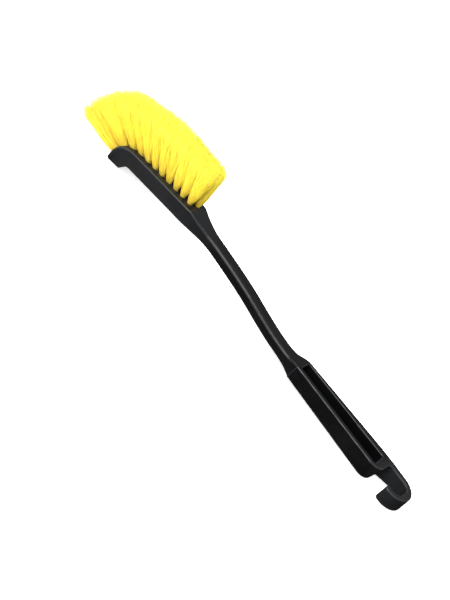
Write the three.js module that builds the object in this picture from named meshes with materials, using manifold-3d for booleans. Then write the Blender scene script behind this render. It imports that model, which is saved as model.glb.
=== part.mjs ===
// A wheel brush: one black moulded block (head, neck, shaft, grip and hook in one piece) and two
// staggered rows of yellow filament tufts, each folded round a flat wire anchor at the bottom of its hole.
// Millimetres. The brush lies on its back with the bristles up (+Z), +X runs from the head to the hook.
import * as THREE from 'three';
import { TessellateModifier } from 'three/addons/modifiers/TessellateModifier.js';
import { mergeVertices } from 'three/addons/utils/BufferGeometryUtils.js';
import Module from 'manifold-3d';

const wasm = await Module();
wasm.setup();

// Head. X starts at the head's front tip, Z at the surface that the brush lies on.
const HEAD_LENGTH = 66;
const HEAD_WIDTH = 22.7;
const FRONT_HEIGHT = 5.1;
const BRISTLE_FACE_HEIGHT = 16; // where the bristle face would meet the front, without its crown
const BRISTLE_FACE_SLOPE = 0.1055;
const CROWN_LENGTH = 13;
const CHIN_LENGTH = 11;
const CHIN_SLOPE = 0.148;
const NOTCH_LENGTH = 5.5;
const BACK_HEIGHT = 5.45; // where the head's back would meet the front, without its chin
const BACK_SLOPE = 0.106;
const BACK_END = 60;

// Shaft, arched between the head and the grip.
const SHAFT_THICKNESS = 7.4;
const GRIP_START = 186;
const ARCH = [
  [BACK_END, 11.8], [72, 12.4], [84, 12.7], [104, 11.6], [128, 9.3],
  [146, 6.6], [162, 4.6], [174, 3.85], [181, 3.4], [GRIP_START, 2.6],
];
const TOP_EDGE = [[HEAD_LENGTH, 22.96], [74, 21.2], [84, 12.7 + SHAFT_THICKNESS]];
const SHOULDER_RISE = [[173, SHAFT_THICKNESS], [178, 7.95], [182.5, 9.6], [GRIP_START, 10.7]];
const HALF_WIDTHS = [
  [0, 10.5], [1.2, HEAD_WIDTH / 2], [62, HEAD_WIDTH / 2], [66.5, 10.7], [76, 8.6], [84, 7],
  [92, 6.35], [170, 6.3], [176, 6.7], [181, 7.75], [GRIP_START, 9.2],
];
const EDGE_RADII = [[0, 0.8], [HEAD_LENGTH, 0.8], [88, 2.2], [170, 2.2], [GRIP_START, 0.9]];

// Grip, with a deep pocket open on the bristle side, and the hook that its far wall runs into.
const GRIP_END = 267.5;
const GRIP_NEAR = 11.75; // from the middle of the shaft to the grip's near side
const GRIP_FAR = 13; // and to its far side, which the hook's stem runs out of
const FAR_SWELL = 250; // where the far side reaches nearly its full width
const ARM_NEAR = 12.5;
const HOOK_FAR = 12.2;
const HOOK_TILT = 0.095; // rise of the hook's top for each millimetre across the brush
const HOOK_TILT_LENGTH = 12; // along the brush, from the grip's end to the full tilt
const GRIP_TOP = 13.3;
const GRIP_BACK_AT_START = 2.6;
const HOOK_END = GRIP_END + 25.5;
const END_CORNER_RADIUS = 8.5;
const END_OVERHANG = 2.4; // the end wall's top edge stands this far past its bottom edge
const GRIP_EDGE = 0.8;
const LONGEST_HOOK_EDGE = 7; // of the triangles that the hook's tilt bends
const POCKET_FLOOR = 2.2;
const POCKET_START = 187.4;
const POCKET_END = 262.5;
const POCKET_CORNER = 1.6;
const STEM_THICKNESS = 5.6;
const SEAT_THICKNESS = 5.2;
const STEM_FILLET = 3.5;
const ARM_THICKNESS = 4.4;
const ARM_LENGTH = 15.5;
const HOOK_INNER_RADIUS = 5.6;
const ARM_TIP_CORNER = 1.5;
const ARM_TIP_OUTER_CORNER = 2.4;

// Tufts and their wire anchors.
const TUFTS_IN_ROW = 11;
const ROW_Y = 3;
const FIRST_ROOT = 0.3; // along the bristle face, from the top of the front
const PITCH = 6.6;
const CROWN_ARC = 14;
const LEAN_FRONT = 85; // degrees towards the front
const LEAN_AFTER_CROWN = 50;
const LEAN_HEEL = 8;
const SPLAY = 4; // degrees sideways
const TUFT_LENGTH = 37;
const HEEL_TUFT_LENGTH = 31;
const TUFT_ROOT_RADIUS = 1.5;
const TUFT_MIDDLE = 11; // how far along the quick flare at the root ends
const TUFT_MIDDLE_RADIUS = 2.9;
const TUFT_TIP_RADIUS = 3.6;
const TUFT_TIP_STRETCH = 1.38;
const GAP = 0.3;
const HOLE_RADIUS = TUFT_ROOT_RADIUS + GAP;
const HOLE_DEPTH = 6.2;
const ANCHOR_WIDTH = 4.6;
const ANCHOR_HEIGHT = 1.6;
const ANCHOR_THICKNESS = 0.45;
const ANCHOR_DEPTH = 3.8; // to its middle

const rad = THREE.MathUtils.degToRad;

// ---------------------------------------------------------------- solids

function toSolid(geometry) {
  const bare = geometry.clone();
  bare.deleteAttribute('normal');
  bare.deleteAttribute('uv');
  const merged = mergeVertices(bare, 1e-4);
  return new wasm.Manifold(new wasm.Mesh({
    numProp: 3,
    vertProperties: new Float32Array(merged.attributes.position.array),
    triVerts: new Uint32Array(merged.index.array),
  }));
}

function toGeometry(solid) {
  const mesh = solid.getMesh();
  const geometry = new THREE.BufferGeometry();
  geometry.setAttribute('position', new THREE.BufferAttribute(mesh.vertProperties, 3));
  geometry.setIndex(new THREE.BufferAttribute(mesh.triVerts, 1));
  geometry.computeVertexNormals();
  return geometry;
}

// The value at x of a smooth curve through a list of [x, value] points, which never overshoots them.
function along(points, x) {
  const last = points.length - 1;
  if (x <= points[0][0]) return points[0][1];
  if (x >= points[last][0]) return points[last][1];
  const i = points.findIndex((point, k) => k < last && x <= points[k + 1][0]);
  const secant = (k) => (points[k + 1][1] - points[k][1]) / (points[k + 1][0] - points[k][0]);
  const slope = (k) => {
    const before = secant(Math.max(k - 1, 0));
    const after = secant(Math.min(k, last - 1));
    return before * after > 0 ? (2 * before * after) / (before + after) : 0;
  };
  const [x0, y0] = points[i];
  const [x1, y1] = points[i + 1];
  const h = x1 - x0;
  const t = (x - x0) / h;
  const rise = y1 - y0;
  const m0 = slope(i) * h;
  const m1 = slope(i + 1) * h;
  return y0 + t * (m0 + t * (3 * rise - 2 * m0 - m1 + t * (m0 + m1 - 2 * rise)));
}

// The value at x of straight lines between the points.
function between(points, x) {
  const i = Math.max(1, points.findIndex((point) => x <= point[0]));
  const [x0, y0] = points[i - 1];
  const [x1, y1] = points[i];
  return y0 + (y1 - y0) * THREE.MathUtils.clamp((x - x0) / (x1 - x0), 0, 1);
}

// A quarter ellipse's fall: 1 at the start of a stretch, 0 with a level tangent at its end.
function quarterFall(x, length) {
  const left = THREE.MathUtils.clamp(1 - x / length, 0, 1);
  return 1 - Math.sqrt(1 - left * left);
}

// ---------------------------------------------------------------- side profile

function topHeight(x) {
  if (x <= HEAD_LENGTH) {
    const crownDrop = BRISTLE_FACE_HEIGHT - FRONT_HEIGHT;
    return BRISTLE_FACE_HEIGHT + BRISTLE_FACE_SLOPE * x - crownDrop * quarterFall(x, CROWN_LENGTH);
  }
  if (x <= 84) return along(TOP_EDGE, x);
  return backHeight(x) + along(SHOULDER_RISE, x);
}

function backHeight(x) {
  if (x <= CHIN_LENGTH) return CHIN_SLOPE * x;
  if (x >= BACK_END) return along(ARCH, x);
  const notchDrop = BACK_HEIGHT + (BACK_SLOPE - CHIN_SLOPE) * CHIN_LENGTH;
  return BACK_HEIGHT + BACK_SLOPE * x - notchDrop * quarterFall(x - CHIN_LENGTH, NOTCH_LENGTH);
}

// ---------------------------------------------------------------- block

// A rounded rectangle in the YZ plane, as a ring of points.
function section(x) {
  const halfWidth = along(HALF_WIDTHS, x);
  const low = backHeight(x);
  const high = topHeight(x);
  const radius = between(EDGE_RADII, x);
  const steps = 5;
  const ring = [];
  const corners = [[1, 1, 0], [-1, 1, 90], [-1, -1, 180], [1, -1, 270]];
  for (const [sideY, sideZ, start] of corners) {
    for (let k = 0; k <= steps; k += 1) {
      const angle = rad(start + (90 * k) / steps);
      const y = sideY * (halfWidth - radius) + radius * Math.cos(angle);
      const z = (sideZ > 0 ? high - radius : low + radius) + radius * Math.sin(angle);
      ring.push([x, y, z]);
    }
  }
  return ring;
}

// Where the handle's sections stand: close together round the crown, the notch and the shoulder.
function stations() {
  const places = [0, 0.25, 0.7, 1.2, 2, 3, 4.2, 5.6, 7.2, 9, CHIN_LENGTH];
  for (let k = 1; k <= 6; k += 1) places.push(CHIN_LENGTH + NOTCH_LENGTH * (1 - Math.cos(rad(15 * k))));
  places.push(BACK_END, 62, 64, HEAD_LENGTH);
  for (let x = 69; x < 96; x += 3) places.push(x);
  for (let x = 96; x < 168; x += 6) places.push(x);
  for (let x = 168; x <= GRIP_START; x += 2) places.push(x);
  return places;
}

function loft(rings) {
  const count = rings[0].length;
  const index = [];
  for (let i = 0; i + 1 < rings.length; i += 1) {
    for (let k = 0; k < count; k += 1) {
      const a = i * count + k;
      const b = i * count + ((k + 1) % count);
      index.push(a, b, a + count, b, b + count, a + count);
    }
  }
  const end = (rings.length - 1) * count;
  for (let k = 1; k + 1 < count; k += 1) {
    index.push(0, k + 1, k);
    index.push(end, end + k, end + k + 1);
  }
  const geometry = new THREE.BufferGeometry();
  geometry.setAttribute('position', new THREE.Float32BufferAttribute(rings.flat(2), 3));
  geometry.setIndex(index);
  return geometry;
}

// Moves a plan extrusion onto the grip's sloping back and level top.
function fitToGrip(geometry, floor, ceiling) {
  const place = geometry.attributes.position;
  for (let i = 0; i < place.count; i += 1) {
    const x = place.getX(i);
    const fall = (HOOK_END - x) / (HOOK_END - GRIP_START);
    const low = GRIP_BACK_AT_START * fall + floor;
    const share = place.getZ(i) / GRIP_TOP;
    place.setZ(i, low + (GRIP_TOP + ceiling - low) * share);
  }
  return geometry;
}

// Tilts the hook's top and back about the brush's length: its arm is lower than its stem.
function tiltHook(geometry) {
  const place = geometry.attributes.position;
  for (let i = 0; i < place.count; i += 1) {
    const begun = THREE.MathUtils.smoothstep(place.getX(i), GRIP_END, GRIP_END + HOOK_TILT_LENGTH);
    const share = place.getZ(i) / GRIP_TOP;
    const fall = HOOK_TILT * (GRIP_FAR - place.getY(i));
    const rise = HOOK_TILT * (place.getY(i) + ARM_NEAR);
    place.setZ(i, place.getZ(i) + begun * (rise * (1 - share) - fall * share));
  }
  return geometry;
}

// Leans the grip's end wall, with the rounding on either side of it, out over the hook's throat.
function leanEndWall(geometry) {
  const place = geometry.attributes.position;
  for (let i = 0; i < place.count; i += 1) {
    const x = place.getX(i);
    const nearness = Math.max(0, 1 - Math.abs(x - GRIP_END) / END_CORNER_RADIUS);
    const height = place.getZ(i) / GRIP_TOP - 0.5;
    place.setX(i, x + END_OVERHANG * nearness * height);
  }
  return geometry;
}

// A plan outline raised to the grip's height with rounded edges.
function extrudePlan(shape, edge, curveSegments) {
  const points = shape.getPoints(curveSegments);
  const outline = points.filter((point, i) => point.distanceTo(points[(i + 1) % points.length]) > 0.02);
  const geometry = new THREE.ExtrudeGeometry(new THREE.Shape(outline), {
    depth: GRIP_TOP - 2 * edge,
    bevelSize: edge,
    bevelThickness: edge,
    bevelOffset: -edge,
    bevelSegments: 3,
  });
  return geometry.translate(0, 0, edge);
}

function gripAndHook() {
  const far = GRIP_FAR;
  const near = -GRIP_NEAR;
  const armOuter = -ARM_NEAR;
  const start = between(HALF_WIDTHS, GRIP_START);
  const stemInner = far - STEM_THICKNESS;
  const armInner = armOuter + ARM_THICKNESS;
  const bendRadius = (HOOK_FAR - armOuter) / 2;
  const bendX = HOOK_END - bendRadius;
  const bendY = (HOOK_FAR + armOuter) / 2;
  const seat = HOOK_END - SEAT_THICKNESS;
  const armTip = HOOK_END - ARM_LENGTH;
  const innerStart = seat - HOOK_INNER_RADIUS;
  const shape = new THREE.Shape();
  shape.moveTo(GRIP_START - 0.6, -start);
  shape.lineTo(GRIP_END - END_CORNER_RADIUS, near);
  shape.absarc(GRIP_END - END_CORNER_RADIUS, near + END_CORNER_RADIUS, END_CORNER_RADIUS, rad(-90), 0, false);
  shape.lineTo(GRIP_END, stemInner - STEM_FILLET);
  shape.absarc(GRIP_END + STEM_FILLET, stemInner - STEM_FILLET, STEM_FILLET, rad(180), rad(90), true);
  shape.lineTo(innerStart, stemInner);
  shape.absarc(innerStart, stemInner - HOOK_INNER_RADIUS, HOOK_INNER_RADIUS, rad(90), 0, true);
  shape.lineTo(seat, armInner + HOOK_INNER_RADIUS);
  shape.absarc(innerStart, armInner + HOOK_INNER_RADIUS, HOOK_INNER_RADIUS, 0, rad(-90), true);
  shape.lineTo(armTip + ARM_TIP_CORNER, armInner);
  const inner = ARM_TIP_CORNER;
  const outer = ARM_TIP_OUTER_CORNER;
  shape.absarc(armTip + inner, armInner - inner, inner, rad(90), rad(180), false);
  shape.absarc(armTip + outer, armOuter + outer, outer, rad(180), rad(270), false);
  shape.absarc(bendX, bendY, bendRadius, rad(-90), rad(90), false);
  shape.quadraticCurveTo(GRIP_END - 1, far + 0.35, FAR_SWELL, far - 0.3);
  shape.lineTo(GRIP_START - 0.6, start);
  const plan = leanEndWall(extrudePlan(shape, GRIP_EDGE, 10));
  const divided = new TessellateModifier(LONGEST_HOOK_EDGE, 9).modify(plan);
  return fitToGrip(tiltHook(divided), 0, 0);
}

// The pocket's hollow: wider towards the hook, its end wall a little askew.
function pocket() {
  const corners = [[POCKET_START, -5.8], [POCKET_END, -8.15], [POCKET_END - 0.9, 6.6], [POCKET_START, 6.2]];
  const shape = new THREE.Shape();
  corners.forEach((corner, i) => {
    const here = new THREE.Vector2(...corner);
    const before = new THREE.Vector2(...corners[(i + 3) % 4]).sub(here).setLength(POCKET_CORNER).add(here);
    const after = new THREE.Vector2(...corners[(i + 1) % 4]).sub(here).setLength(POCKET_CORNER).add(here);
    if (i === 0) shape.moveTo(before.x, before.y);
    else shape.lineTo(before.x, before.y);
    shape.quadraticCurveTo(here.x, here.y, after.x, after.y);
  });
  return fitToGrip(extrudePlan(shape, 0.8, 3), POCKET_FLOOR, 3);
}

// ---------------------------------------------------------------- tufts

// Points along the bristle face, from the top of the front to the heel.
const facePoints = [];
for (let x = 0; x <= HEAD_LENGTH; x += 0.1) facePoints.push(new THREE.Vector2(x, topHeight(x)));

function facePoint(distance) {
  let walked = 0;
  for (let i = 1; i < facePoints.length; i += 1) {
    const step = facePoints[i].distanceTo(facePoints[i - 1]);
    if (walked + step >= distance) {
      return facePoints[i - 1].clone().lerp(facePoints[i], (distance - walked) / step);
    }
    walked += step;
  }
  return facePoints[facePoints.length - 1];
}

// Every tuft's name, length and frame: its own Z runs out along the tuft, its own Y across the brush.
function tuftPlaces() {
  const places = [];
  const faceEnd = FIRST_ROOT + PITCH * (TUFTS_IN_ROW - 0.5);
  for (const [row, side] of [['near', -1], ['far', 1]]) {
    for (let i = 0; i < TUFTS_IN_ROW; i += 1) {
      const distance = FIRST_ROOT + PITCH * (i + (side > 0 ? 0.5 : 0));
      const root = facePoint(distance);
      const lean = between([
        [FIRST_ROOT, LEAN_FRONT], [CROWN_ARC, LEAN_AFTER_CROWN], [faceEnd, LEAN_HEEL],
      ], distance);
      const frame = new THREE.Group();
      frame.position.set(root.x, side * ROW_Y, root.y);
      frame.rotation.set(-rad(side * SPLAY), -rad(lean), 0, 'YXZ');
      frame.updateMatrix();
      const length = between([
        [0, TUFT_LENGTH], [faceEnd * 0.6, TUFT_LENGTH], [faceEnd, HEEL_TUFT_LENGTH],
      ], distance);
      places.push({ name: `${row}_${String(i + 1).padStart(2, '0')}`, length, frame });
    }
  }
  return places;
}

function box(width, depth, height) {
  return new THREE.BoxGeometry(width, depth, height);
}

// What is taken out of the block for one tuft: its blind hole and the groove that its anchor bites.
function tuftHole(frame) {
  const top = 6;
  const hole = new THREE.CylinderGeometry(HOLE_RADIUS, HOLE_RADIUS, HOLE_DEPTH + top, 14);
  hole.rotateX(rad(90)).translate(0, 0, (top - HOLE_DEPTH) / 2);
  const groove = box(ANCHOR_THICKNESS + 2 * GAP, ANCHOR_WIDTH + 2 * GAP, ANCHOR_HEIGHT + 2 * GAP);
  groove.translate(0, 0, -ANCHOR_DEPTH);
  const cut = toSolid(hole).add(toSolid(groove));
  return cut.transform(frame.matrix.toArray());
}

// A bundle of filaments: folded round its anchor in the hole, then fanning out to its soft tip.
function tuftGeometry(length) {
  const bottom = GAP - HOLE_DEPTH;
  const straight = 2.2;
  const dome = 3.2;
  const profile = [[0, bottom], [1, bottom], [TUFT_ROOT_RADIUS, bottom + 0.5], [TUFT_ROOT_RADIUS, straight]];
  profile.push([TUFT_MIDDLE_RADIUS, TUFT_MIDDLE], [TUFT_TIP_RADIUS, length - dome]);
  profile.push([TUFT_TIP_RADIUS * 0.72, length - 0.9], [0, length]);
  const body = new THREE.LatheGeometry(profile.map((point) => new THREE.Vector2(...point)), 14);
  body.rotateX(rad(90));
  const place = body.attributes.position;
  for (let i = 0; i < place.count; i += 1) {
    const share = THREE.MathUtils.clamp((place.getZ(i) - straight) / (length - dome - straight), 0, 1);
    place.setY(i, place.getY(i) * (1 + (TUFT_TIP_STRETCH - 1) * share));
  }
  const window = box(ANCHOR_THICKNESS + 2 * GAP, 2 * HOLE_RADIUS, ANCHOR_HEIGHT + 2 * GAP);
  window.translate(0, 0, -ANCHOR_DEPTH);
  return toGeometry(toSolid(body).subtract(toSolid(window)));
}

// ---------------------------------------------------------------- assembly

const plastic = () => new THREE.MeshStandardMaterial({ color: 0x17181a, roughness: 0.42, metalness: 0 });
const filament = () => new THREE.MeshStandardMaterial({ color: 0xffee1a, roughness: 0.75, metalness: 0 });
const wire = () => new THREE.MeshStandardMaterial({ color: 0xb9bcc0, roughness: 0.35, metalness: 1 });

function named(name, geometry, material) {
  const mesh = new THREE.Mesh(geometry, material);
  mesh.name = name;
  return mesh;
}

function blockMesh(places) {
  let solid = toSolid(loft(stations().map(section))).add(toSolid(gripAndHook()));
  solid = solid.subtract(toSolid(pocket()));
  for (const { frame } of places) solid = solid.subtract(tuftHole(frame));
  return named('block', toGeometry(solid), plastic());
}

function tuftGroup({ name, length, frame }) {
  frame.add(named(`tuft_${name}`, tuftGeometry(length), filament()));
  const anchor = named(`anchor_${name}`, box(ANCHOR_THICKNESS, ANCHOR_WIDTH, ANCHOR_HEIGHT), wire());
  anchor.position.z = -ANCHOR_DEPTH;
  frame.add(anchor);
  return frame;
}

const brush = new THREE.Group();
const places = tuftPlaces();
brush.add(blockMesh(places));
for (const place of places) brush.add(tuftGroup(place));

// The origin is under the middle of the brush, on the surface that it lies on.
const bounds = new THREE.Box3().setFromObject(brush, true);
const middle = bounds.getCenter(new THREE.Vector3());
brush.position.set(-middle.x, -middle.y, -bounds.min.z);

const model = new THREE.Group();
model.add(brush);

export default model;
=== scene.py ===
"""A wheel brush: a black moulded block with two rows of yellow filament tufts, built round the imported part.

Everything is in metres in the part's own frame: +X runs from the head to the hook, +Z towards the bristles.
"""
import math

import bpy
import numpy as np
from mathutils import Matrix, Vector


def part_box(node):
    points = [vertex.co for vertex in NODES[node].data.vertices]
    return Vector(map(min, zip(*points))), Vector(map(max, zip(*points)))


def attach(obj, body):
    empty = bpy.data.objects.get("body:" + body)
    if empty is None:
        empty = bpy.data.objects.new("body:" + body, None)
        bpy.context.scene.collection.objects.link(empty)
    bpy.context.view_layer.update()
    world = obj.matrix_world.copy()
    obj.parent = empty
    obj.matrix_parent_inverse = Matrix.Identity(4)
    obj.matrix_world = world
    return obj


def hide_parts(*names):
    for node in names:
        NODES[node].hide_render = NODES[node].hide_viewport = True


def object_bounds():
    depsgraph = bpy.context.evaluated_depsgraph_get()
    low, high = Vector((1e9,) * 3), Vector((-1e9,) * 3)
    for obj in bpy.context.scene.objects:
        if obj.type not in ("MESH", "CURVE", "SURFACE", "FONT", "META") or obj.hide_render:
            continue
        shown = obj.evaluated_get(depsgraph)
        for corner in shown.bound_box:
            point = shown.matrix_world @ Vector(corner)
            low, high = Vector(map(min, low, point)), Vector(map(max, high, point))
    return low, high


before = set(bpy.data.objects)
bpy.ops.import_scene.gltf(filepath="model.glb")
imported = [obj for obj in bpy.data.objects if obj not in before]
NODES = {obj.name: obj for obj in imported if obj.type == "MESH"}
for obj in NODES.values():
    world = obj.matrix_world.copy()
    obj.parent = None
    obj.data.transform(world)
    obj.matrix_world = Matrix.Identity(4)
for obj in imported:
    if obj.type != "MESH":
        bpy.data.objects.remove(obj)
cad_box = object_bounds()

MM = 0.001
GOLDEN_ANGLE = math.pi * (3 - math.sqrt(5))
ROOT = "root"
BLOCK_LOW, BLOCK_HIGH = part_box("block")
CAD_LOW, CAD_HIGH = cad_box

# Camera: where it looks from, and how far it is turned about its own axis. Angles are in degrees, and the
# sensor and the lens in millimetres.
VIEW_AZIMUTH = 11.476
VIEW_ELEVATION = 26.535
VIEW_ROLL = 46.46
VIEW_DISTANCE = 0.9895
VIEW_TARGET = Vector((-7.3 * MM, -0.216 * MM, -2.44 * MM))
SENSOR = 36.0
LENS = 92.31

# Block.
BLOCK_VOXEL = 0.48 * MM
BLOCK_EASING = 2  # rounds of smoothing
SHARP_EDGE = 0.12 * BLOCK_VOXEL  # how far a fully sharp edge's vertex stands out of its neighbours
CROWN_FULLNESS = 1.1 * MM
CROWN_REACH = 9 * MM

# Where the block is held: over the fades, past the head and before the hook, it turns smoother, and its
# colour turns darker as painted shade.
HEAD_END = BLOCK_LOW[0] + 70 * MM
HEAD_FADE = 25 * MM
HOOK_START = BLOCK_HIGH[0] - 25 * MM
HOOK_FADE = 6 * MM

# Filaments. They fill their hole, bulge out at once, flare and then spread evenly to a shared outline.
# Stations are shares of a filament's length above the face, and the taper is its thickness at each.
FILAMENTS = 420
FILAMENT_SIDES = 3  # one triangle closes each end
FILAMENT_RADIUS = 0.115 * MM
FILAMENT_STATIONS = [0.03, 0.09, 0.2, 0.4, 0.66, 0.9]
FILAMENT_TAPER = [1.0, 1.0, 1.0, 1.0, 1.0, 0.9, 0.6]  # the first is for the buried end
FILAMENT_BEND = 0.3 * MM
TURN_SCATTER = 0.25  # in radians
WHISKERS = 2  # to each filament
WHISKER_RADIUS = 0.05 * MM
WHISKER_STATIONS = [0.88, 0.95, 1.0]
WHISKER_TAPER = [1.0, 0.8, 0.35]
WHISKER_FRAY = 1.1 * MM
FRAY_ACROSS = 0.4  # share of the fray that goes across the brush
HOLE_FILL_RADIUS = 1.45 * MM
BULGE = 0.85 * MM
BULGE_LENGTH = 1.6 * MM
FLARE = 1.5 * MM
FLARE_LENGTH = 12.0 * MM
LEAN_START = 1.4  # above 1, the filaments part later on their way to the tip
FRONT_FULLNESS = 0.4  # how much thicker the foremost tufts are at the face
FRONT_STRETCH = 16 * MM
LOCKS = 40  # groups of filaments in a tuft that cling together
LOCK_PULL = 0.25
LOCK_TONE = 0.65  # share of a filament's shade that it has from its lock
BURIED = 3.0 * MM
ANCHOR_DEPTH = 3.8 * MM
FIRST_SEED = 700

# The outline that the bristles are trimmed to.
TIP_SPREAD_ALONG = 1.05  # how far a tuft's tips reach either way, in spacings of its row
TIP_SPREAD_ACROSS = 7.0 * MM
TIP_MINGLING = 0.45  # share of a tip's place that is chance
TIP_ROUGHNESS = 1.5 * MM
TIP_ROUGHNESS_SHAPE = 2.2  # few filaments reach the outline, most end a little inside it
TIP_SWAY = 0.6 * MM
TIP_LIFT = 3.2 * MM
OUTLINE_DOME = 4.5 * MM
OUTLINE_HALF_WIDTH = 10.5 * MM
OUTLINE_RUN_OUT = 12.0 * MM
PAST_FRONT = 3.5 * MM
PAST_HEEL = 3.2 * MM
CORNER_ROUNDING = 0.8  # how far short a tip ends for its distance past either end
END_FOLD = (1, 3)  # how many times over a tip past either end is turned back
TALLEST = CAD_HIGH[2] + 1.3 * MM
LOWEST = 0.3 * MM
WIDEST = CAD_HIGH[1]
FOLD_BACK = 1.3  # how many times over a stray point is turned back

# Colours, from the darkest to the lightest where there are two.
FRESH_BLACK = [(0.0046, 0.0049, 0.0054), (0.0068, 0.0071, 0.0078)]
# painted shade: the darker black of the stretch where the block is held
SHADED_BLACK_WHERE_HELD = [(0.0016, 0.0016, 0.0018), (0.0026, 0.0027, 0.0030)]
# wear and painted highlight: the lighter grey on sharp convex edges
WORN_AND_HIGHLIGHT_GREY = (0.035, 0.036, 0.039, 1)
# painted shade: deeper, darker yellows low on the filaments
ROOT_YELLOW_PAINTED_SHADE = (0.90, 0.74, 0.14)
LOW_YELLOW_PAINTED_SHADE = (0.93, 0.78, 0.09)
MIDDLE_YELLOW = (1.0, 0.97, 0.10)
TIP_YELLOW = (1.0, 1.0, 0.13)
# a deeper tone that filaments take at random, with more of it low down as painted shade
DEEP_YELLOW_TONE_AND_SHADE = (0.86, 0.68, 0.045, 1)
AMBER = (1.0, 0.78, 0.03, 1)
STEEL = [(0.40, 0.41, 0.43), (0.62, 0.63, 0.65)]
FLOOR_WHITE = [(0.93, 0.93, 0.925), (0.95, 0.95, 0.945)]
FLOOR_GLOW = (1, 1, 0.985, 1)
BACKDROP_WHITE = (0.98, 0.98, 0.965, 1)

# Studio, in metres and watts.
FLOOR_HALF_WIDTH = 30.0
KEY_PLACE = (-0.3, -0.7, 1.1)
KEY_SIZE = (0.8, 0.8)
KEY_POWER = 34
FRONT_PLACE = (-0.5, -1.5, 0.55)
FRONT_SIZE = (1.4, 0.9)
FRONT_POWER = 22
SKY_STRENGTH = 1.5
# Brightness of the sky from straight down, 0, through the horizon, 0.5, to straight up, 1.
SKY_STOPS = [(0.0, 0.02), (0.49, 0.03), (0.53, 0.07), (0.75, 0.15), (0.86, 0.6), (1.0, 1.0)]


# ---------------------------------------------------------------- small helpers

def link(obj):
    """Puts an object in the scene."""
    bpy.context.scene.collection.objects.link(obj)
    return obj


def vertex_values(mesh, name):
    """Three numbers for each vertex: its place, "co", or its direction, "normal"."""
    values = np.empty(len(mesh.vertices) * 3, np.float32)
    mesh.vertices.foreach_get(name, values)
    return values.reshape(-1, 3)


def coordinates(mesh):
    return vertex_values(mesh, "co").astype(float)


def node_points(name):
    """The vertices of one of the part's own pieces."""
    return coordinates(NODES[name].data)


def add_attribute(mesh, name, values):
    """A number for each vertex, for a material to read."""
    layer = mesh.attributes.new(name, "FLOAT", "POINT")
    layer.data.foreach_set("value", np.asarray(values, np.float32))


# ---------------------------------------------------------------- materials

class Shader:
    """A material's nodes, with short calls to add and join them."""

    def __init__(self, name):
        self.material = bpy.data.materials.new(name)
        self.material.use_nodes = True
        self.nodes = self.material.node_tree.nodes
        self.links = self.material.node_tree.links
        self.surface = self.nodes["Principled BSDF"]
        self.output = self.nodes["Material Output"]

    def add(self, kind, inputs=None, **settings):
        """A new node with its inputs fed and its settings made."""
        node = self.nodes.new(kind)
        for key, value in settings.items():
            setattr(node, key, value)
        for key, value in (inputs or {}).items():
            self.feed(node.inputs[key], value)
        return node

    def feed(self, socket, value):
        """Joins a socket to another node's output, or sets it to a plain value."""
        if isinstance(value, bpy.types.NodeSocket):
            self.links.new(value, socket)
        else:
            socket.default_value = value

    def noise(self, vector, scale, detail=3.0, roughness=0.5):
        made = self.add("ShaderNodeTexNoise", {
            "Vector": vector, "Scale": scale, "Detail": detail, "Roughness": roughness,
        })
        return made.outputs["Fac"]

    def spread(self, value, low, high, to_low=0.0, to_high=1.0):
        made = self.add("ShaderNodeMapRange", {
            "Value": value, "From Min": low, "From Max": high, "To Min": to_low, "To Max": to_high,
        })
        return made.outputs["Result"]

    def calculate(self, operation, first, second):
        made = self.add("ShaderNodeMath", {0: first, 1: second}, operation=operation)
        return made.outputs[0]

    def ramp(self, value, stops):
        """A colour for the value, from (place, colour) stops."""
        made = self.add("ShaderNodeValToRGB", {"Fac": value})
        elements = made.color_ramp.elements
        while len(elements) < len(stops):
            elements.new(0.5)
        for element, (place, colour) in zip(elements, stops):
            element.position = place
            element.color = (*colour, 1)
        return made.outputs["Color"]

    def mottle(self, value, pair):
        """A colour that wanders between two, for a noise value."""
        return self.ramp(value, [(0.3, pair[0]), (0.7, pair[1])])

    def blend(self, share, first, second):
        """A mix of two colours. The node's colour sockets are 6 and 7, and its colour output is 2."""
        made = self.add("ShaderNodeMix", {"Factor": share}, data_type="RGBA")
        self.feed(made.inputs[6], first)
        self.feed(made.inputs[7], second)
        return made.outputs[2]

    def attribute(self, name):
        return self.add("ShaderNodeAttribute", attribute_name=name).outputs["Fac"]

    def place(self):
        return self.add("ShaderNodeTexCoord").outputs["Object"]

    def bump(self, height, strength, distance):
        made = self.add("ShaderNodeBump", {"Height": height, "Strength": strength, "Distance": distance})
        self.feed(self.surface.inputs["Normal"], made.outputs["Normal"])

    def set(self, **values):
        """Feeds inputs of the surface, named with _ for each space."""
        for key, value in values.items():
            self.feed(self.surface.inputs[key.replace("_", " ")], value)


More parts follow.
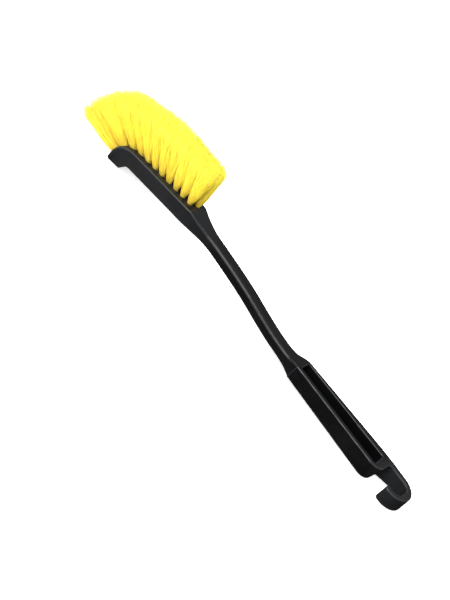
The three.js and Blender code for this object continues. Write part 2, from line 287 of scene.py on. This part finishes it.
def block_material():
    """Black polypropylene with a fine moulded grain, smoother where it is held and darker there as painted
    shade; its sharp edges are lighter, partly wear and partly a painted highlight.
    """
    shader = Shader("black_moulded_plastic")
    place = shader.place()
    edge = shader.attribute("edge")
    cloud = shader.noise(place, 60, 3)
    grain = shader.noise(place, 3200, 2, 0.6)
    lengthways = shader.add("ShaderNodeSeparateXYZ", {0: place}).outputs["X"]
    past_head = shader.spread(lengthways, HEAD_END, HEAD_END + HEAD_FADE)
    before_hook = shader.spread(lengthways, HOOK_START - HOOK_FADE, HOOK_START, 1.0, 0.0)
    held_and_painted_shade = shader.calculate("MULTIPLY", past_head, before_hook)
    # painted shade: the held stretch is coloured a darker black
    colour = shader.blend(held_and_painted_shade, shader.mottle(cloud, FRESH_BLACK), shader.mottle(cloud, SHADED_BLACK_WHERE_HELD))
    # lighter grey on convex edges, partly wear and partly a painted highlight
    worn_and_highlit = shader.blend(shader.spread(edge, 0.25, 1.0, 0.0, 0.5), colour, WORN_AND_HIGHLIGHT_GREY)
    shader.set(Base_Color=worn_and_highlit, IOR=1.49, Specular_IOR_Level=0.16)
    satin = shader.spread(cloud, 0.3, 0.7, 0.38, 0.48)
    polish = shader.spread(held_and_painted_shade, 0.0, 1.0, 0.0, 0.17)
    shader.set(Roughness=shader.calculate("SUBTRACT", satin, polish))
    shader.bump(grain, 0.12, 0.05 * MM)
    return shader.material


def filament_material():
    """Lemon-yellow filament, lit through, a little deeper in colour towards the root as painted shade, and in
    deeper tones at random.
    """
    shader = Shader("yellow_filament")
    along = shader.attribute("along")
    shade = shader.attribute("shade")
    # painted shade: the yellow deepens towards the root
    colour = shader.ramp(along, [
        (0.0, ROOT_YELLOW_PAINTED_SHADE), (0.12, LOW_YELLOW_PAINTED_SHADE), (0.4, MIDDLE_YELLOW), (1.0, TIP_YELLOW),
    ])
    own = shader.spread(shade, 0.3, 0.7)
    # painted shade: the random deeper tone weighs more low on the filaments
    painted_root_shade = shader.spread(along, 0.3, 1.0, 0.8, 0.3)
    tone_and_painted_shade = shader.blend(shader.calculate("MULTIPLY", own, painted_root_shade), colour, DEEP_YELLOW_TONE_AND_SHADE)
    shader.set(Base_Color=tone_and_painted_shade, Roughness=0.5, IOR=1.5, Specular_IOR_Level=0.35)
    through = shader.add("ShaderNodeBsdfTranslucent", {"Color": shader.blend(0.6, tone_and_painted_shade, AMBER)})
    mixed = shader.add("ShaderNodeMixShader", {
        0: 0.4, 1: shader.surface.outputs[0], 2: through.outputs[0],
    })
    shader.feed(shader.output.inputs["Surface"], mixed.outputs[0])
    return shader.material


def wire_material():
    """Drawn steel wire, rolled flat."""
    shader = Shader("anchor_wire_steel")
    place = shader.place()
    drawn = shader.noise(place, 1500, 4)
    rough = shader.spread(drawn, 0.3, 0.7, 0.25, 0.42)
    shader.set(Base_Color=shader.mottle(drawn, STEEL), Metallic=1.0, Roughness=rough)
    shader.bump(drawn, 0.3, 0.01 * MM)
    return shader.material


def floor_material():
    """Matt white that glows a little, so that the brush's shadow on it is faint."""
    shader = Shader("studio_floor")
    tone = shader.noise(shader.place(), 3, 2)
    shader.set(Base_Color=shader.mottle(tone, FLOOR_WHITE), Roughness=0.9, Specular_IOR_Level=0.1)
    shader.set(Emission_Color=FLOOR_GLOW, Emission_Strength=0.75)
    return shader.material


# ---------------------------------------------------------------- block

def evaluated_copy(obj, name):
    """A new mesh with obj's modifiers applied."""
    graph = bpy.context.evaluated_depsgraph_get()
    mesh = bpy.data.meshes.new_from_object(obj.evaluated_get(graph), depsgraph=graph)
    mesh.name = name
    return mesh


def edge_sharpness(mesh):
    """How convex the surface is at each vertex, from 0 to 1."""
    points = coordinates(mesh)
    normals = vertex_values(mesh, "normal")
    ends = np.empty(len(mesh.edges) * 2, np.int32)
    mesh.edges.foreach_get("vertices", ends)
    ends = ends.reshape(-1, 2)
    total = np.zeros_like(points)
    count = np.zeros(len(points))
    for a, b in ((0, 1), (1, 0)):
        np.add.at(total, ends[:, a], points[ends[:, b]])
        np.add.at(count, ends[:, a], 1)
    middle = total / count[:, None]
    return np.clip(((points - middle) * normals).sum(1) / SHARP_EDGE, 0, 1)


def fill_crown(mesh):
    """Makes the rounding over the head's front tip a little fuller than the part's."""
    points = coordinates(mesh)
    out = np.array([-1.0, 0.0, 1.0]) / math.sqrt(2)
    facing = np.clip(vertex_values(mesh, "normal") @ out, 0, 1)
    nearness = np.clip(1 - (points[:, 0] - BLOCK_LOW[0]) / CROWN_REACH, 0, 1)
    points += (CROWN_FULLNESS * facing * nearness * (2 - nearness))[:, None] * out
    mesh.vertices.foreach_set("co", points.astype(np.float32).ravel())
    mesh.update()


def moulded_block():
    """The block with every edge eased as a moulding's is and a fuller crown, in place of the part's own."""
    source = link(bpy.data.objects.new("block_source", NODES["block"].data.copy()))
    remesh = source.modifiers.new("even", "REMESH")
    remesh.mode = "VOXEL"
    remesh.voxel_size = BLOCK_VOXEL
    settle = source.modifiers.new("settle", "SHRINKWRAP")
    settle.target = NODES["block"]
    smooth = source.modifiers.new("ease", "SMOOTH")
    smooth.factor = 0.5
    smooth.iterations = BLOCK_EASING
    mesh = evaluated_copy(source, "moulded_block")
    bpy.data.objects.remove(source)
    mesh.materials.clear()
    mesh.materials.append(block_material())
    mesh.shade_smooth()
    fill_crown(mesh)
    add_attribute(mesh, "edge", edge_sharpness(mesh))
    piece = link(bpy.data.objects.new("moulded_block", mesh))
    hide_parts("block")
    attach(piece, ROOT)


# ---------------------------------------------------------------- filaments

def tuft_axis(place):
    """The middle of a tuft's anchor, and its tip: the point of the tuft that is farthest out along it."""
    anchor = node_points(f"anchor_{place}").mean(0)
    tuft = node_points(f"tuft_{place}")
    farthest = tuft[np.argmax(np.linalg.norm(tuft - anchor, axis=1))]
    tip = tuft[np.argmax((tuft - anchor) @ (farthest - anchor))]
    return anchor, tip


class Outline:
    """The curve that the bristles are trimmed to, seen from the side, through every tuft's tip."""

    def __init__(self, axes):
        order = sorted(axes, key=lambda place: (place[-2:], place.startswith("far")))
        tips = np.array([axes[place][1] for place in order])[:, [0, 2]]
        steps = np.linalg.norm(np.diff(tips, axis=0), axis=1)
        at = np.concatenate([[0], np.cumsum(steps)])
        self.place_at = dict(zip(order, at))
        self.spacing = dict(zip(order, 2 * np.gradient(at)))
        before = tips[0] + (tips[0] - tips[2]) / at[2] * OUTLINE_RUN_OUT
        after = tips[-1] + (tips[-1] - tips[-3]) / (at[-1] - at[-3]) * OUTLINE_RUN_OUT
        self.at = np.concatenate([[-OUTLINE_RUN_OUT], at, [at[-1] + OUTLINE_RUN_OUT]])
        self.line = np.concatenate([[before], tips, [after]])

    def points(self, at):
        """X and Z at the given distances along the outline."""
        x = np.interp(at, self.at, self.line[:, 0])
        z = np.interp(at, self.at, self.line[:, 1])
        return x, z


def strands(centres, radii, spin):
    """Closed thin prisms along centres[strand, station, xyz]. Gives vertices and faces."""
    count, stations, _ = centres.shape
    sides = FILAMENT_SIDES
    forward = centres[:, -1] - centres[:, 0]
    forward /= np.linalg.norm(forward, axis=1, keepdims=True)
    across = np.cross(forward, [0.0, 1.0, 0.3])
    across /= np.linalg.norm(across, axis=1, keepdims=True)
    other = np.cross(forward, across)
    angle = spin[:, None] + np.arange(sides)[None, :] * 2 * math.pi / sides
    ring = np.cos(angle)[..., None] * across[:, None] + np.sin(angle)[..., None] * other[:, None]
    points = centres[:, :, None, :] + radii[:, :, None, None] * ring[:, None]
    base = (np.arange(count) * stations * sides)[:, None, None]
    station = np.arange(stations - 1)[None, :, None] * sides
    corner = np.arange(sides)[None, None, :]
    here = base + station + corner
    beside = base + station + (corner + 1) % sides
    quads = np.stack([here, beside, beside + sides, here + sides], -1).reshape(-1, 4)
    starts = base[:, :, 0]
    first = starts + np.arange(sides)[::-1]
    last = starts + (stations - 1) * sides + np.arange(sides)
    return points.reshape(-1, 3), quads, np.concatenate([first, last])


def make_mesh(name, parts):
    """One mesh from several (points, quads, triangles) parts."""
    points, quads, triangles, start = [], [], [], 0
    for part_points, part_quads, part_triangles in parts:
        points.append(part_points)
        quads.append(part_quads + start)
        triangles.append(part_triangles + start)
        start += len(part_points)
    points = np.concatenate(points)
    quads = np.concatenate(quads)
    triangles = np.concatenate(triangles)
    loops = np.concatenate([quads.ravel(), triangles.ravel()]).astype(np.int32)
    sizes = np.concatenate([np.full(len(quads), 4), np.full(len(triangles), 3)])
    starts = np.concatenate([[0], np.cumsum(sizes)[:-1]]).astype(np.int32)
    mesh = bpy.data.meshes.new(name)
    mesh.vertices.add(len(points))
    mesh.vertices.foreach_set("co", points.astype(np.float32).ravel())
    mesh.loops.add(len(loops))
    mesh.loops.foreach_set("vertex_index", loops)
    mesh.polygons.add(len(sizes))
    mesh.polygons.foreach_set("loop_start", starts)
    mesh.update(calc_edges=True)
    mesh.validate()
    return mesh


def bundle_radius(distance):
    """How far a bundle's outermost filaments stand from its middle near the bristle face."""
    out = np.maximum(distance, 0)
    bulge = BULGE * (1 - np.exp(-out / BULGE_LENGTH))
    flare = FLARE * (1 - np.exp(-out / FLARE_LENGTH))
    return HOLE_FILL_RADIUS + bulge + flare


def tuft_tips(place, tip, axis, outline, along, across, lock, rng):
    """Where each filament of a tuft ends, spread along the outline and across the brush."""
    count = len(along)
    along = (1 - TIP_MINGLING) * along + TIP_MINGLING * rng.uniform(-1, 1, count)
    across = (1 - TIP_MINGLING) * across + TIP_MINGLING * rng.uniform(-1, 1, count)
    along = gather(along, lock)
    across = gather(across, lock)
    spread = TIP_SPREAD_ALONG * outline.spacing[place]
    at = outline.place_at[place] + along * spread + rng.normal(0, TIP_SWAY, count)
    last = outline.at[-2]
    at += np.maximum(-PAST_FRONT - at, 0) * rng.uniform(*END_FOLD, count)
    at -= np.maximum(at - last - PAST_HEEL, 0) * rng.uniform(*END_FOLD, count)
    x, z = outline.points(at)
    y = tip[1] + across * TIP_SPREAD_ACROSS + rng.normal(0, TIP_SWAY, count)
    short = rng.gamma(TIP_ROUGHNESS_SHAPE, TIP_ROUGHNESS, count)
    rounding = CORNER_ROUNDING * (np.maximum(-at, 0) + np.maximum(at - last, 0))
    inward = OUTLINE_DOME * (y / OUTLINE_HALF_WIDTH) ** 2 - TIP_LIFT + short + rounding
    return np.stack([x, y, z], 1) - inward[:, None] * axis


def locks(along, across, rng):
    """Which lock each filament clings to: the nearest of some places scattered over the tuft."""
    middles = rng.integers(0, len(along), LOCKS)
    apart = np.hypot(along[:, None] - along[middles], across[:, None] - across[middles])
    return apart.argmin(1)


def gather(values, lock):
    """Draws each filament's value towards the middle of its lock's."""
    total = np.bincount(lock, values, LOCKS)
    middle = total / np.maximum(np.bincount(lock, minlength=LOCKS), 1)
    return values + LOCK_PULL * (middle[lock] - values)


def keep_inside(points):
    """Turns back whatever is too high, too low or too far to one side."""
    over = np.maximum(points[..., 2] - TALLEST, 0)
    under = np.maximum(LOWEST - points[..., 2], 0)
    points[..., 2] += FOLD_BACK * (under - over)
    beyond = np.maximum(np.abs(points[..., 1]) - WIDEST, 0)
    points[..., 1] -= FOLD_BACK * beyond * np.sign(points[..., 1])
    return points


class Tuft:
    """One tuft's filaments: packed in their hole at one end, spread along the outline at the other."""

    def __init__(self, place, axes, outline, rng):
        anchor, tip = axes[place]
        self.axis = (tip - anchor) / np.linalg.norm(tip - anchor)
        self.root = anchor + self.axis * ANCHOR_DEPTH
        self.length = np.linalg.norm(tip - self.root)
        lengthways = np.cross([0.0, 1.0, 0.0], self.axis)
        lengthways /= np.linalg.norm(lengthways)
        sideways = np.cross(self.axis, lengthways)
        sideways *= np.sign(sideways[1])
        lengthways *= np.sign((outline.line[-1] - outline.line[0]) @ lengthways[[0, 2]])
        turn = np.arange(FILAMENTS) * GOLDEN_ANGLE + rng.normal(0, TURN_SCATTER, FILAMENTS)
        out = np.sqrt((np.arange(FILAMENTS) + 0.5) / FILAMENTS)
        along = out * np.cos(turn)
        across = out * np.sin(turn)
        front = np.clip(1 - (self.root[0] - BLOCK_LOW[0]) / FRONT_STRETCH, 0, 1)
        self.way_out = along[:, None] * lengthways + across[:, None] * sideways
        self.way_out *= 1 + FRONT_FULLNESS * front
        self.lock = locks(along, across, rng)
        ends = tuft_tips(place, tip, self.axis, outline, along, across, self.lock, rng)
        straight = self.root + self.axis * self.length + self.way_out * bundle_radius(self.length)
        self.lean = ends - straight
        self.bend = rng.normal(0, FILAMENT_BEND, (FILAMENTS, 3))

    def centre(self, share):
        """Points on each filament's middle line at the given shares of its length above the face."""
        distance = share * self.length
        bundle = bundle_radius(distance)[..., None] * self.way_out[:, None]
        above = np.clip(share, 0, 1)[..., None]
        lean = above ** LEAN_START * self.lean[:, None] + np.sin(math.pi * above) * self.bend[:, None]
        return self.root + distance[..., None] * self.axis + bundle + lean


def random_turns(rng, count):
    """A direction for each of the prisms' first corners."""
    return rng.uniform(0, 6.28, count)


def filament_tuft(place, index, axes, outline, material):
    """One tuft of filaments, each split into whiskers at its tip."""
    rng = np.random.default_rng(FIRST_SEED + index)
    tuft = Tuft(place, axes, outline, rng)
    stations = np.array([-BURIED / tuft.length] + FILAMENT_STATIONS)
    radii = np.tile(FILAMENT_RADIUS * np.array(FILAMENT_TAPER), (FILAMENTS, 1))
    share = np.tile(stations, (FILAMENTS, 1))
    body = strands(keep_inside(tuft.centre(share)), radii, random_turns(rng, FILAMENTS))

    owner = np.repeat(np.arange(FILAMENTS), WHISKERS)
    whisker_share = np.tile(WHISKER_STATIONS, (FILAMENTS, 1))
    lines = tuft.centre(whisker_share)[owner]
    fray = rng.normal(0, WHISKER_FRAY, (len(owner), 3))
    lines[:, 1] += fray * FRAY_ACROSS
    lines[:, 2] += fray
    whisker_radii = np.tile(WHISKER_RADIUS * np.array(WHISKER_TAPER), (len(owner), 1))
    tips = strands(keep_inside(lines), whisker_radii, random_turns(rng, len(owner)))

    mesh = make_mesh(f"filaments_{place}", [body, tips])
    mesh.materials.append(material)
    mesh.shade_smooth()
    along_body = np.repeat(np.clip(share, 0, 1).ravel(), FILAMENT_SIDES)
    along_tips = np.repeat(whisker_share[owner].ravel(), FILAMENT_SIDES)
    add_attribute(mesh, "along", np.concatenate([along_body, along_tips]))
    lock_tone = rng.uniform(0, 1, LOCKS)[tuft.lock]
    tone = LOCK_TONE * lock_tone + (1 - LOCK_TONE) * rng.uniform(0, 1, FILAMENTS)
    shade_body = np.repeat(tone, len(stations) * FILAMENT_SIDES)
    shade_tips = np.repeat(tone[owner], len(WHISKER_STATIONS) * FILAMENT_SIDES)
    add_attribute(mesh, "shade", np.concatenate([shade_body, shade_tips]))

    piece = link(bpy.data.objects.new(f"filaments_{place}", mesh))
    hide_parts(f"tuft_{place}")
    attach(piece, ROOT)


def bristles():
    """Every tuft, in place of the part's plain ones."""
    places = sorted(name.removeprefix("tuft_") for name in NODES if name.startswith("tuft_"))
    axes = {place: tuft_axis(place) for place in places}
    outline = Outline(axes)
    material = filament_material()
    for index, place in enumerate(places):
        filament_tuft(place, index, axes, outline, material)


def dress_anchors(material):
    """Gives the part's own anchors their steel."""
    for name, node in NODES.items():
        if name.startswith("anchor_"):
            node.data.materials.clear()
            node.data.materials.append(material)


# ---------------------------------------------------------------- studio

def camera():
    """Looks from above the near side, rolled so that the hook is at the lower right."""
    data = bpy.data.cameras.new("camera")
    data.sensor_width = SENSOR
    data.lens = LENS
    data.clip_start = 0.02
    data.clip_end = 50
    azimuth = math.radians(VIEW_AZIMUTH)
    elevation = math.radians(VIEW_ELEVATION)
    back = Vector((
        math.sin(azimuth) * math.cos(elevation),
        -math.cos(azimuth) * math.cos(elevation),
        math.sin(elevation),
    ))
    right = Vector((0, 0, 1)).cross(back).normalized()
    up = back.cross(right)
    level = Matrix((right, up, back)).transposed()
    turned = level @ Matrix.Rotation(math.radians(VIEW_ROLL), 3, "Z")
    eye = link(bpy.data.objects.new("camera", data))
    eye.matrix_world = Matrix.Translation(VIEW_TARGET + back * VIEW_DISTANCE) @ turned.to_4x4()
    bpy.context.scene.camera = eye


def floor():
    """A plain floor, which mirror-like reflections don't show."""
    half = FLOOR_HALF_WIDTH
    mesh = bpy.data.meshes.new("studio_floor")
    corners = [(-half, -half, 0), (half, -half, 0), (half, half, 0), (-half, half, 0)]
    mesh.from_pydata(corners, [], [(0, 1, 2, 3)])
    mesh.materials.append(floor_material())
    ground = link(bpy.data.objects.new("studio_floor", mesh))
    ground.visible_glossy = False


def soft_light(name, place, target, size, power):
    """A rectangular lamp that faces its target."""
    data = bpy.data.lights.new(name, "AREA")
    data.shape = "RECTANGLE"
    data.size, data.size_y = size
    data.energy = power
    lamp = link(bpy.data.objects.new(name, data))
    aim = (Vector(target) - Vector(place)).to_track_quat("-Z", "Y")
    lamp.matrix_world = Matrix.Translation(place) @ aim.to_matrix().to_4x4()


def sky(world):
    """Soft light that is strongest overhead, and dark below the horizon, so that the black sides stay black.

    Only the camera sees the plain pale backdrop that takes its place behind the brush.
    """
    nodes = world.node_tree.nodes
    links = world.node_tree.links
    direction = nodes.new("ShaderNodeTexCoord").outputs["Generated"]
    split = nodes.new("ShaderNodeSeparateXYZ")
    links.new(direction, split.inputs[0])
    height = nodes.new("ShaderNodeMapRange")
    height.inputs["From Min"].default_value = -1
    links.new(split.outputs["Z"], height.inputs["Value"])
    ramp = nodes.new("ShaderNodeValToRGB")
    links.new(height.outputs["Result"], ramp.inputs["Fac"])
    elements = ramp.color_ramp.elements
    while len(elements) < len(SKY_STOPS):
        elements.new(0.5)
    for element, (place, level) in zip(elements, SKY_STOPS):
        element.position = place
        element.color = (level, level, level, 1)
    background = nodes["Background"]
    links.new(ramp.outputs["Color"], background.inputs["Color"])
    background.inputs["Strength"].default_value = SKY_STRENGTH
    backdrop = nodes.new("ShaderNodeBackground")
    backdrop.inputs["Color"].default_value = BACKDROP_WHITE
    seen = nodes.new("ShaderNodeLightPath").outputs["Is Camera Ray"]
    either = nodes.new("ShaderNodeMixShader")
    links.new(seen, either.inputs[0])
    links.new(background.outputs[0], either.inputs[1])
    links.new(backdrop.outputs[0], either.inputs[2])
    links.new(either.outputs[0], nodes["World Output"].inputs["Surface"])


def studio():
    """The sky, a key light high on the near side and a wide light lower in front."""
    world = bpy.data.worlds.new("studio")
    world.use_nodes = True
    sky(world)
    bpy.context.scene.world = world
    centre = (CAD_LOW + CAD_HIGH) / 2
    soft_light("key", KEY_PLACE, centre, KEY_SIZE, KEY_POWER)
    soft_light("front", FRONT_PLACE, centre, FRONT_SIZE, FRONT_POWER)


bpy.context.scene.view_settings.view_transform = "Standard"
camera()
floor()
studio()
moulded_block()
bristles()
dress_anchors(wire_material())

bpy.context.view_layer.update()
